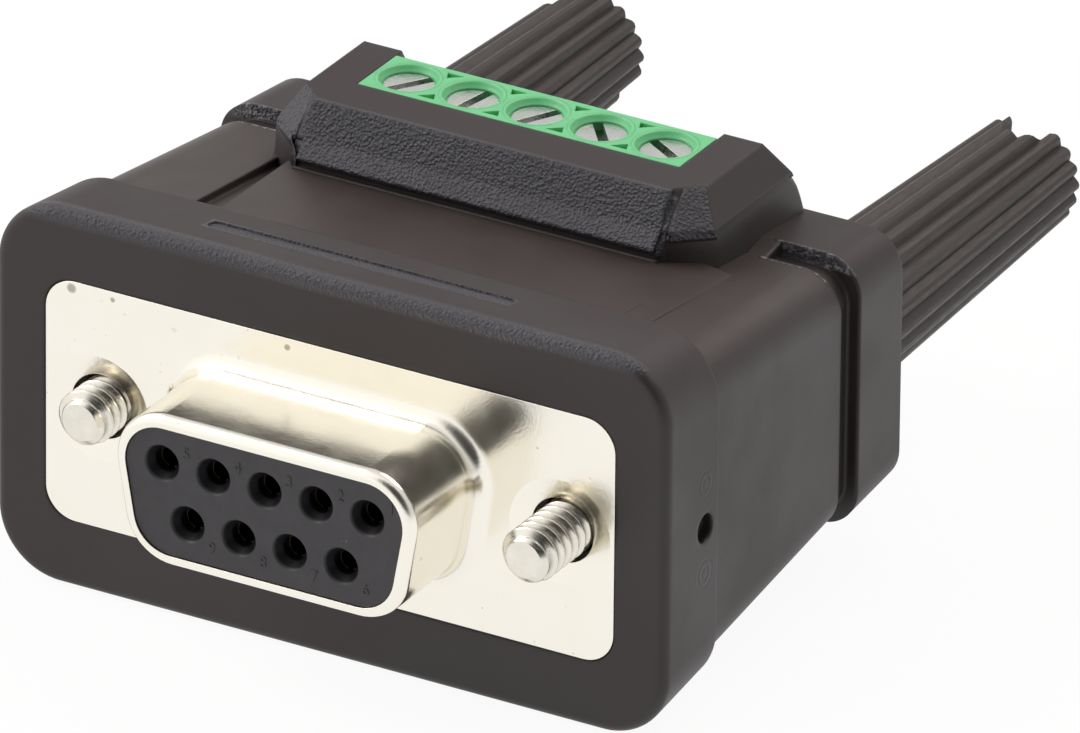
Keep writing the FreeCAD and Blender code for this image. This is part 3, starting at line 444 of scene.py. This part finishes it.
def shaft_steel():
    """Plated screw steel, with painted shade at the bottom of the thread."""
    look = Look("shaft_steel")
    scratch = look.noise(7.0, 5, look.vector("MULTIPLY", look.place, (0.25, 1.6, 1.0)))
    tone = look.mix(look.noise(1.4, 3), colour(0.72, 0.68, 0.59), colour(0.88, 0.85, 0.77))
    across, depth = look.axes.outputs[0], look.axes.outputs[1]
    tips = [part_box("thumbscrew_shaft_" + side)[0].y / MM for side in ("left", "right")]
    behind = look.math("SUBTRACT", depth, look.range(across, -1, 1, tips[0], tips[1], False))
    # Painted shade: the thread's valleys are made dark brown
    painted_valley_shade = look.range(look.from_screw_axis(), 1.02, 1.3, 0.85, 0.0)
    thread = look.between(behind, 0.55, THREAD_LENGTH / MM, 0.1)
    tone = look.mix(look.math("MULTIPLY", painted_valley_shade, thread), tone, colour(0.1, 0.085, 0.065))
    normal = look.bump(scratch, 0.005, 0.7, look.soft_edges(0.03))
    look.set(Base_Color=tone, Metallic=1.0, Roughness=look.range(scratch, 0.3, 0.7, 0.16, 0.28),
             Normal=normal)
    return look.material


def terminal_plastic():
    """Pale green terminal block plastic, slightly translucent."""
    look = Look("terminal_plastic")
    tone = look.mix(look.noise(0.9, 4), colour(0.12, 0.5, 0.21), colour(0.17, 0.59, 0.27))
    normal = look.bump(look.noise(8, 4), 0.005, 0.7, look.soft_edges(0.08))
    look.set(Base_Color=tone, Roughness=look.range(look.noise(2, 3), 0.3, 0.7, 0.3, 0.42), IOR=1.5,
             Subsurface_Weight=0.15, Subsurface_Radius=(0.4 * MM, 0.8 * MM, 0.4 * MM), Subsurface_Scale=1.0,
             Normal=normal)
    return look.material


def board_laminate():
    """Green solder mask over a faint glass weave."""
    look = Look("board_laminate")
    weave = look.math("MULTIPLY", look.math("SINE", look.math("MULTIPLY", look.axes.outputs[0], 12.0)),
                      look.math("SINE", look.math("MULTIPLY", look.axes.outputs[1], 12.0)))
    tone = look.mix(look.noise(0.6, 3), colour(0.02, 0.13, 0.05), colour(0.03, 0.18, 0.07))
    look.set(Base_Color=tone, Roughness=look.range(weave, -1, 1, 0.25, 0.35), IOR=1.5,
             Normal=look.bump(weave, 0.004, 0.6))
    return look.material


MATERIALS = {
    "housing_plastic": housing_plastic(),
    "plated_steel": plated_steel(),
    "insulator_plastic": insulator_plastic(),
    # contact_brass tones are far darker than brass: painted shade of the contacts deep in their holes
    "contact_brass": turned_metal("contact_brass", (0.06, 0.045, 0.025), (0.1, 0.078, 0.045), 0.3, 0.45),
    "board_laminate": board_laminate(),
    "terminal_plastic": terminal_plastic(),
    "screw_steel": turned_metal("screw_steel", (0.62, 0.62, 0.61), (0.8, 0.8, 0.79), 0.22, 0.38),
    "cage_steel": turned_metal("cage_steel", (0.55, 0.55, 0.54), (0.7, 0.7, 0.69), 0.28, 0.42),
    "pin_brass": turned_metal("pin_brass", (0.62, 0.6, 0.52), (0.76, 0.74, 0.66), 0.25, 0.4),
    "shaft_steel": shaft_steel(),
    "knob_plastic": knob_plastic(),
    "ring_steel": turned_metal("ring_steel", (0.4, 0.4, 0.4), (0.55, 0.55, 0.55), 0.3, 0.45),
}


def finish_cad_nodes():
    """Gives every CAD node its material from the record's slots."""
    for entry in frame["record"]["subparts"]:
        node = frame["nodes"][entry["node"]]
        node.data.materials.clear()
        node.data.materials.append(MATERIALS[entry["material_slot"]])


def new_piece(name, verts, faces, body, slot, smooth=True):
    """A mesh piece in the row frame that rides on a body and has one of the materials."""
    mesh = bpy.data.meshes.new(name)
    mesh.from_pydata(verts, [], faces)
    mesh.materials.append(MATERIALS[slot])
    for polygon in mesh.polygons:
        polygon.use_smooth = smooth
    piece = bpy.data.objects.new(name, mesh)
    bpy.context.scene.collection.objects.link(piece)
    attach(piece, body)
    return piece


def thread_radius(depth, angle, radius):
    """Radius of the thread's flank at a depth from the tip and an angle round it."""
    turn = (depth / THREAD_PITCH - angle / (2 * math.pi)) % 1.0
    height = min(1.0, max(0.0, abs(turn - 0.5) * THREAD_FLANK_SLOPE - THREAD_ROOT_SHARE))
    crest = radius - THREAD_DEPTH * (1.0 - height)
    start = radius - THREAD_CHAMFER + depth
    fade = min(1.0, max(0.0, (THREAD_LENGTH - depth) / THREAD_PITCH))
    return min(start, radius + (crest - radius) * fade)


def shaft_profile(length, radius):
    """Depths from the tip with the plain radius there, behind the thread."""
    neck_end = THREAD_LENGTH + NECK_LENGTH
    groove_end = RING_GROOVE_START + RING_GROOVE_LENGTH
    return [(THREAD_LENGTH, NECK_RADIUS), (neck_end, NECK_RADIUS), (neck_end, radius),
            (RING_GROOVE_START, radius), (RING_GROOVE_START, NECK_RADIUS), (groove_end, NECK_RADIUS),
            (groove_end, radius), (length, radius)]


def threaded_shaft(side):
    """Replaces the plain shaft by one with its thread cut."""
    node = "thumbscrew_shaft_" + side
    low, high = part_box(node)
    middle = (low + high) / 2
    radius = (high.x - low.x) / 2
    steps = round(THREAD_LENGTH / THREAD_PITCH * THREAD_STEPS)
    rows = [[(i / steps * THREAD_LENGTH, None)] * TURN_STEPS for i in range(steps + 1)]
    rows += [[(depth, plain)] * TURN_STEPS for depth, plain in shaft_profile(high.y - low.y, radius)]
    verts = []
    for row in rows:
        for k, (depth, plain) in enumerate(row):
            angle = 2 * math.pi * k / TURN_STEPS
            reach = thread_radius(depth, angle, radius) if plain is None else plain
            verts.append((middle.x + reach * math.sin(angle), low.y + depth,
                          middle.z + reach * math.cos(angle)))
    faces = []
    for r in range(len(rows) - 1):
        for k in range(TURN_STEPS):
            a, b = r * TURN_STEPS + k, r * TURN_STEPS + (k + 1) % TURN_STEPS
            faces.append((a, b, b + TURN_STEPS, a + TURN_STEPS))
    faces.append(tuple(reversed(range(TURN_STEPS))))
    last = (len(rows) - 1) * TURN_STEPS
    faces.append(tuple(range(last, last + TURN_STEPS)))
    shaft = new_piece("threaded_shaft_" + side, verts, faces, "thumbscrew_" + side, "shaft_steel")
    shaft.data.polygons[len(faces) - 1].use_smooth = False
    shaft.data.polygons[len(faces) - 2].use_smooth = False
    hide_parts(node)


def well_funnels():
    """Soft green funnels between the terminal wells' mouths and the screw heads."""
    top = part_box("terminal_housing")[1].z
    profile = [(WELL_RADIUS, 0.0), (WELL_MOUTH_RADIUS, 0.0)]
    for i in range(1, WELL_STEPS + 1):
        share = i / WELL_STEPS
        radius = WELL_THROAT_RADIUS + (WELL_MOUTH_RADIUS - WELL_THROAT_RADIUS) * (1 - share) ** WELL_ROUNDING
        profile.append((radius, -WELL_DEPTH * share))
    profile.append((WELL_RADIUS, -WELL_DEPTH))
    for number in range(1, POLES + 1):
        low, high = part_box("terminal_screw_%d" % number)
        verts, faces = [], []
        for k in range(TURN_STEPS):
            angle = 2 * math.pi * k / TURN_STEPS
            for radius, rise in profile:
                verts.append(((low.x + high.x) / 2 + radius * math.cos(angle),
                              (low.y + high.y) / 2 + radius * math.sin(angle), top + rise))
        count = len(profile)
        for k in range(TURN_STEPS):
            for i in range(count):
                a, b = k * count + i, k * count + (i + 1) % count
                c, d = (k + 1) % TURN_STEPS * count + (i + 1) % count, (k + 1) % TURN_STEPS * count + i
                faces.append((a, b, c, d))
        new_piece("well_funnel_%d" % number, verts, faces, "adapter", "terminal_plastic")


def turned_screw():
    """Screw 4 as the photo shows it, turned further than its solid."""
    node = "terminal_screw_4"
    low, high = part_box(node)
    middle = (low + high) / 2
    source = frame["nodes"][node]
    mesh = source.data.copy()
    about = Matrix.Translation(middle) @ Matrix.Rotation(math.radians(SCREW_4_SHOWN_TURN_DEG), 4, "Z")
    mesh.transform(source.matrix_world.inverted() @ about @ Matrix.Translation(-middle) @ source.matrix_world)
    piece = bpy.data.objects.new("turned_screw_4", mesh)
    piece.matrix_world = source.matrix_world.copy()
    bpy.context.scene.collection.objects.link(piece)
    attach(piece, "screw_4")
    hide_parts(node)


def hood_skirt(side):
    """Soft lower edge of the hood on one side, flaring into the collar at the rear."""
    verts, faces = [], []
    top_half = SKIRT_LEVELS[0][1]
    for height, half, rear in SKIRT_LEVELS:
        out = half - top_half
        nose = (SKIRT_NOSE[0] + out * SKIRT_NOSE_SPREAD[0], SKIRT_NOSE[1] + out * SKIRT_NOSE_SPREAD[1])
        stub = (nose[0] - SKIRT_NOSE_STUB[0], nose[1] - SKIRT_NOSE_STUB[1])
        pad_end = SKIRT_PAD_END if height < SKIRT_PAD_END_TOP else stub
        row = [pad_end, nose, (half, SKIRT_FRONT), (half, rear - SKIRT_CORNER)]
        for i in range(1, SKIRT_CORNER_STEPS):
            angle = math.pi / 2 * i / SKIRT_CORNER_STEPS
            row.append((half - SKIRT_CORNER * (1 - math.cos(angle)),
                        rear - SKIRT_CORNER * (1 - math.sin(angle))))
        row += [(half - SKIRT_CORNER, rear), (SKIRT_INNER, rear), (SKIRT_INNER, SKIRT_INNER_START)]
        verts += [FLANGE + Vector((side * x, y, height)) * MM for x, y in row]
    count = len(verts) // len(SKIRT_LEVELS)
    for r in range(len(SKIRT_LEVELS) - 1):
        for i in range(count - 1):
            a = r * count + i
            face = (a, a + count, a + count + 1, a + 1)
            faces.append(face if side > 0 else face[::-1])
    name = "hood_skirt_right" if side > 0 else "hood_skirt_left"
    new_piece(name, verts, faces, "adapter", "housing_plastic")


def side_prism(name, outline, half):
    """A bar across the housing from its side view."""
    count = len(outline)
    verts = [FLANGE + Vector((x, depth, height)) * MM for x in (-half, half) for depth, height in outline]
    faces = [tuple(range(count)), tuple(range(2 * count - 1, count - 1, -1))]
    for i in range(count):
        j = (i + 1) % count
        faces.append((i, i + count, j + count, j))
    new_piece(name, verts, faces, "adapter", "housing_plastic", False)


def panel_floor():
    """The top panel's floor, which meets the pad's foot and runs into the waist's top on the right."""
    verts, faces = [], []
    for depth, height in PANEL_FLOOR:
        waist_top = WAIST_TOP_START - WAIST_TOP_FALL * (depth - BEZEL_DEPTH)
        row = ((PANEL_LEFT_LIP, height - PANEL_LIP_DROP), (PANEL_LEFT, height), (PANEL_RIGHT, height),
               ((PANEL_RIGHT + PANEL_RIGHT_MEETING) / 2, (height + waist_top) / 2 + PANEL_MIDWAY_RISE),
               (PANEL_RIGHT_MEETING, waist_top - PANEL_MEETING_DROP))
        verts += [FLANGE + Vector((x, depth, z)) * MM for x, z in row]
    count = len(verts) // len(PANEL_FLOOR)
    for r in range(len(PANEL_FLOOR) - 1):
        for i in range(count - 1):
            a = r * count + i
            faces.append((a, a + 1, a + count + 1, a + count))
    new_piece("panel_floor", verts, faces, "adapter", "housing_plastic")


def contact_numbers():
    """Small raised numbers beside the contact holes."""
    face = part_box("insulator_front")[0].y
    for number in range(1, CONTACT_COUNT + 1):
        low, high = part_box("contact_%d" % number)
        rise = TOP_NUMBER_RISE if number <= TOP_ROW_COUNT else BOTTOM_NUMBER_RISE
        curve = bpy.data.curves.new("number_outline_%d" % number, "FONT")
        curve.body = str(number)
        curve.size = NUMBER_HEIGHT
        curve.extrude = NUMBER_RELIEF
        curve.resolution_u = 4
        curve.align_x = "CENTER"
        curve.align_y = "CENTER"
        text = bpy.data.objects.new("number_text_%d" % number, curve)
        mesh = bpy.data.meshes.new_from_object(text)
        bpy.data.objects.remove(text)
        place = Vector(((low.x + high.x) / 2 + NUMBER_ASIDE, face, (low.z + high.z) / 2 + rise))
        mesh.transform(Matrix.Translation(place) @ Matrix.Rotation(math.radians(90), 4, "X"))
        mesh.materials.clear()
        mesh.materials.append(MATERIALS["insulator_plastic"])
        piece = bpy.data.objects.new("contact_number_%d" % number, mesh)
        bpy.context.scene.collection.objects.link(piece)
        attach(piece, "adapter")


def camera_axes():
    """The camera's right, up and backward directions in the row frame."""
    azimuth = math.radians(CAMERA_AZIMUTH_DEG)
    elevation = math.radians(CAMERA_ELEVATION_DEG)
    back = Vector((math.sin(azimuth) * math.cos(elevation), -math.cos(azimuth) * math.cos(elevation),
                   math.sin(elevation)))
    right = (-back).cross(Vector((0, 0, 1))).normalized()
    up = right.cross(-back)
    roll = Matrix.Rotation(math.radians(CAMERA_ROLL_DEG), 3, back)
    return roll @ right, roll @ up, back


def add_camera():
    right, up, back = camera_axes()
    data = bpy.data.cameras.new("camera")
    data.lens = CAMERA_LENS_MM
    data.sensor_width = CAMERA_SENSOR_MM
    data.clip_start = 0.05
    data.clip_end = 20
    camera = bpy.data.objects.new("camera", data)
    bpy.context.scene.collection.objects.link(camera)
    place = FLANGE + back * CAMERA_DISTANCE + right * CAMERA_ASIDE + up * CAMERA_UP
    turn = Matrix((right, up, back)).transposed().to_4x4()
    camera.matrix_world = Matrix.Translation(place) @ turn
    bpy.context.scene.camera = camera


def add_lamp(name, place, watts, tint):
    """A square soft lamp that looks at the part."""
    data = bpy.data.lights.new(name, "AREA")
    data.color = tint
    data.shape = "RECTANGLE"
    data.size = LAMP_SIZE
    data.size_y = LAMP_SIZE
    data.energy = watts
    light = bpy.data.objects.new(name, data)
    bpy.context.scene.collection.objects.link(light)
    light.location = place
    light.rotation_euler = (Vector(LAMP_AIM) - Vector(place)).to_track_quat("-Z", "Y").to_euler()


def add_world():
    """A white studio tent, brightest at the front left, with a dark place where the camera stands."""
    world = bpy.data.worlds.new("studio")
    bpy.context.scene.world = world
    world.use_nodes = True
    nodes, links = world.node_tree.nodes, world.node_tree.links
    background = nodes["Background"]
    direction = nodes.new("ShaderNodeTexCoord").outputs["Generated"]

    def patch(towards, span, far, near):
        """A level that changes from far to near as a direction comes closer to the given one."""
        dot = nodes.new("ShaderNodeVectorMath")
        dot.operation = "DOT_PRODUCT"
        links.new(direction, dot.inputs[0])
        dot.inputs[1].default_value = towards
        level = nodes.new("ShaderNodeMapRange")
        level.interpolation_type = "SMOOTHSTEP"
        links.new(dot.outputs["Value"], level.inputs["Value"])
        for name, value in (("From Min", span[0]), ("From Max", span[1]), ("To Min", far), ("To Max", near)):
            level.inputs[name].default_value = value
        return level.outputs["Result"]

    level = patch(TENT_BRIGHT_DIRECTION, TENT_BRIGHT_SPAN, TENT_FAR_LEVEL, TENT_NEAR_LEVEL)
    for dim in (patch(camera_axes()[2], TENT_OPENING_SPAN, 1.0, TENT_OPENING_LEVEL),
                patch(TENT_ROOF_DIRECTION, TENT_ROOF_SPAN, 1.0, TENT_ROOF_LEVEL)):
        product = nodes.new("ShaderNodeMath")
        product.operation = "MULTIPLY"
        links.new(level, product.inputs[0])
        links.new(dim, product.inputs[1])
        level = product.outputs[0]
    background.inputs["Color"].default_value = TENT_TINT
    links.new(level, background.inputs["Strength"])


def add_floor():
    """Plain white floor under the part, which keeps a soft shadow and shows white in reflections."""
    corners = [(x * FLOOR_HALF, y * FLOOR_HALF, -FLOOR_DROP) for x, y in ((-1, -1), (1, -1), (1, 1), (-1, 1))]
    mesh = bpy.data.meshes.new("floor")
    mesh.from_pydata(corners, [], [(0, 1, 2, 3)])
    look = Look("floor")
    look.set(Base_Color=look.mix(look.noise(0.01, 2), colour(0.9, 0.9, 0.9), colour(0.92, 0.92, 0.92)),
             Roughness=0.7, Specular_IOR_Level=0.2)
    seen = look.nodes.new("ShaderNodeLightPath")
    mirrored = look.math("MAXIMUM", seen.outputs["Is Glossy Ray"], seen.outputs["Is Transmission Ray"])
    shown = look.math("MAXIMUM", seen.outputs["Is Camera Ray"], mirrored)
    white = look.nodes.new("ShaderNodeEmission")
    blend = look.nodes.new("ShaderNodeMixShader")
    look.links.new(look.math("MULTIPLY", shown, FLOOR_WHITE_SHARE), blend.inputs[0])
    look.links.new(look.shader.outputs[0], blend.inputs[1])
    look.links.new(white.outputs[0], blend.inputs[2])
    look.links.new(blend.outputs[0], look.nodes["Material Output"].inputs["Surface"])
    mesh.materials.append(look.material)
    floor = bpy.data.objects.new("floor", mesh)
    bpy.context.scene.collection.objects.link(floor)


finish_cad_nodes()
for side_name in ("left", "right"):
    threaded_shaft(side_name)
contact_numbers()
well_funnels()
turned_screw()
for side_sign in (-1, 1):
    hood_skirt(side_sign)
panel_floor()
side_prism("pad_foot", PAD_FOOT_OUTLINE, PAD_FOOT_HALF)
side_prism("grip_slot_floor", SLOT_FLOOR_OUTLINE, SLOT_FLOOR_HALF)
add_camera()
add_world()
add_floor()
add_lamp("key", KEY_PLACE, KEY_WATTS, KEY_TINT)
add_lamp("fill", FILL_PLACE, FILL_WATTS, FILL_TINT)
bpy.context.scene.view_settings.view_transform = "Standard"
